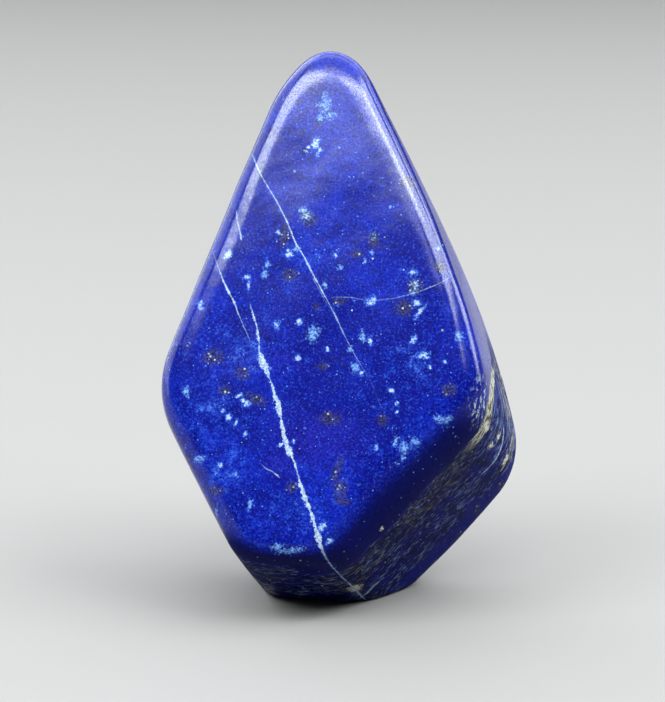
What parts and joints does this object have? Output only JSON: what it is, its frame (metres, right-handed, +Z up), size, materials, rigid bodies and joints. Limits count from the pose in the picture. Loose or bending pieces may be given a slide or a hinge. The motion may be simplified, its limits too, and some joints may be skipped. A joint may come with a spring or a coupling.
{
  "type": "polished lapis lazuli stone",
  "caption": "Cut and polished lapis lazuli freeform: a leaning kite-shaped stone that stands on a small flat spot, for display.",
  "frame": {"origin": "middle of the stone's bounding box at its lowest level, in the plane of the flat spot it stands on", "axes": "+Z up toward the tip, and -Y toward the viewer of the broad front face, which leans back"},
  "size_m": [0.079, 0.0612, 0.1272],
  "materials": {
    "polished_lapis": "polished, with white calcite veins and flecks and fine pyrite"
  },
  "bodies": {
    "root": {"lapis_stone": "polished_lapis"}
  },
  "joints": []
}
